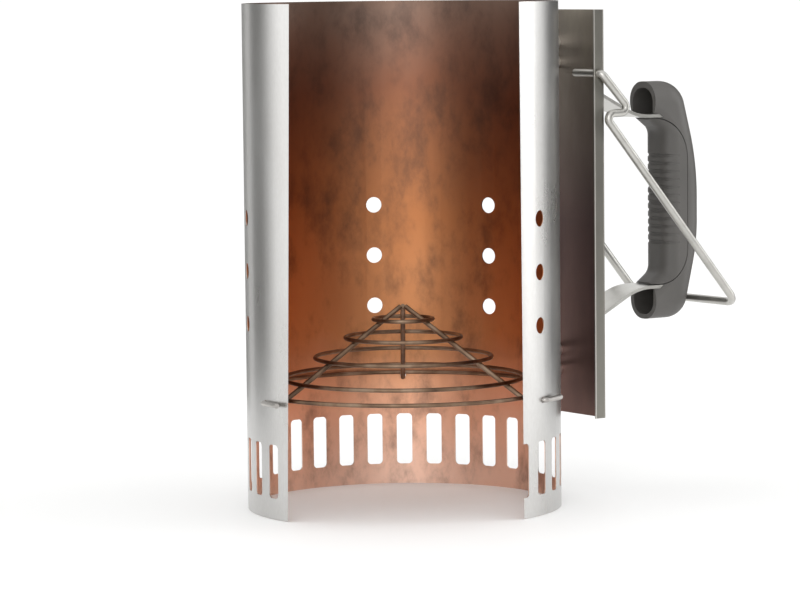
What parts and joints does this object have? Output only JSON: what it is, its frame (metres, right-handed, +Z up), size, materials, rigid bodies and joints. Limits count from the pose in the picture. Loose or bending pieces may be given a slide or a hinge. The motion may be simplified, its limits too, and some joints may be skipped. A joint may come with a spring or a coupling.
{
  "type": "chimney charcoal starter",
  "caption": "Slotted steel cylinder opened at the front, with a wire cone grate inside, a flat heat shield, a strap handle with a plastic grip and a swinging wire bail.",
  "frame": {"origin": "centre of the whole object's footprint, on the plane the base rim stands on", "axes": "+Z up along the cylinder, +X from the cylinder towards the handle, the opened front on the -Y side"},
  "size_m": [0.3256, 0.1884, 0.305],
  "materials": {
    "bright_sheet": "satin, heat tinted inside",
    "shield_sheet": "satin",
    "grate_wire": "heat darkened",
    "strap_steel": "zinc plated",
    "bail_wire": "zinc plated",
    "fastener_steel": "zinc plated",
    "grip_plastic": "fine matte texture"
  },
  "bodies": {
    "chimney": {"body_shell": "bright_sheet", "seam_rivets": "fastener_steel", "grate_leg_1": "grate_wire", "grate_leg_2": "grate_wire", "grate_leg_3": "grate_wire", "grate_ring_1": "grate_wire", "grate_ring_2": "grate_wire", "grate_ring_3": "grate_wire", "grate_ring_4": "grate_wire", "grate_ring_5": "grate_wire", "heat_shield": "shield_sheet", "shield_spacers": "fastener_steel", "handle_strap": "strap_steel", "handle_bolts": "fastener_steel", "bolt_washers": "fastener_steel", "bolt_nuts": "fastener_steel", "grip_inner": "grip_plastic", "grip_outer": "grip_plastic", "grip_screws": "fastener_steel"},
    "bail": {"bail": "bail_wire"}
  },
  "joints": [
    {"name": "bail_hinge", "type": "hinge", "parent": "chimney", "child": "bail", "pos_m": [0.05102, -0.00107, 0.2602], "axis": [0, -1, 0], "range_deg": [0, 165]}
  ]
}
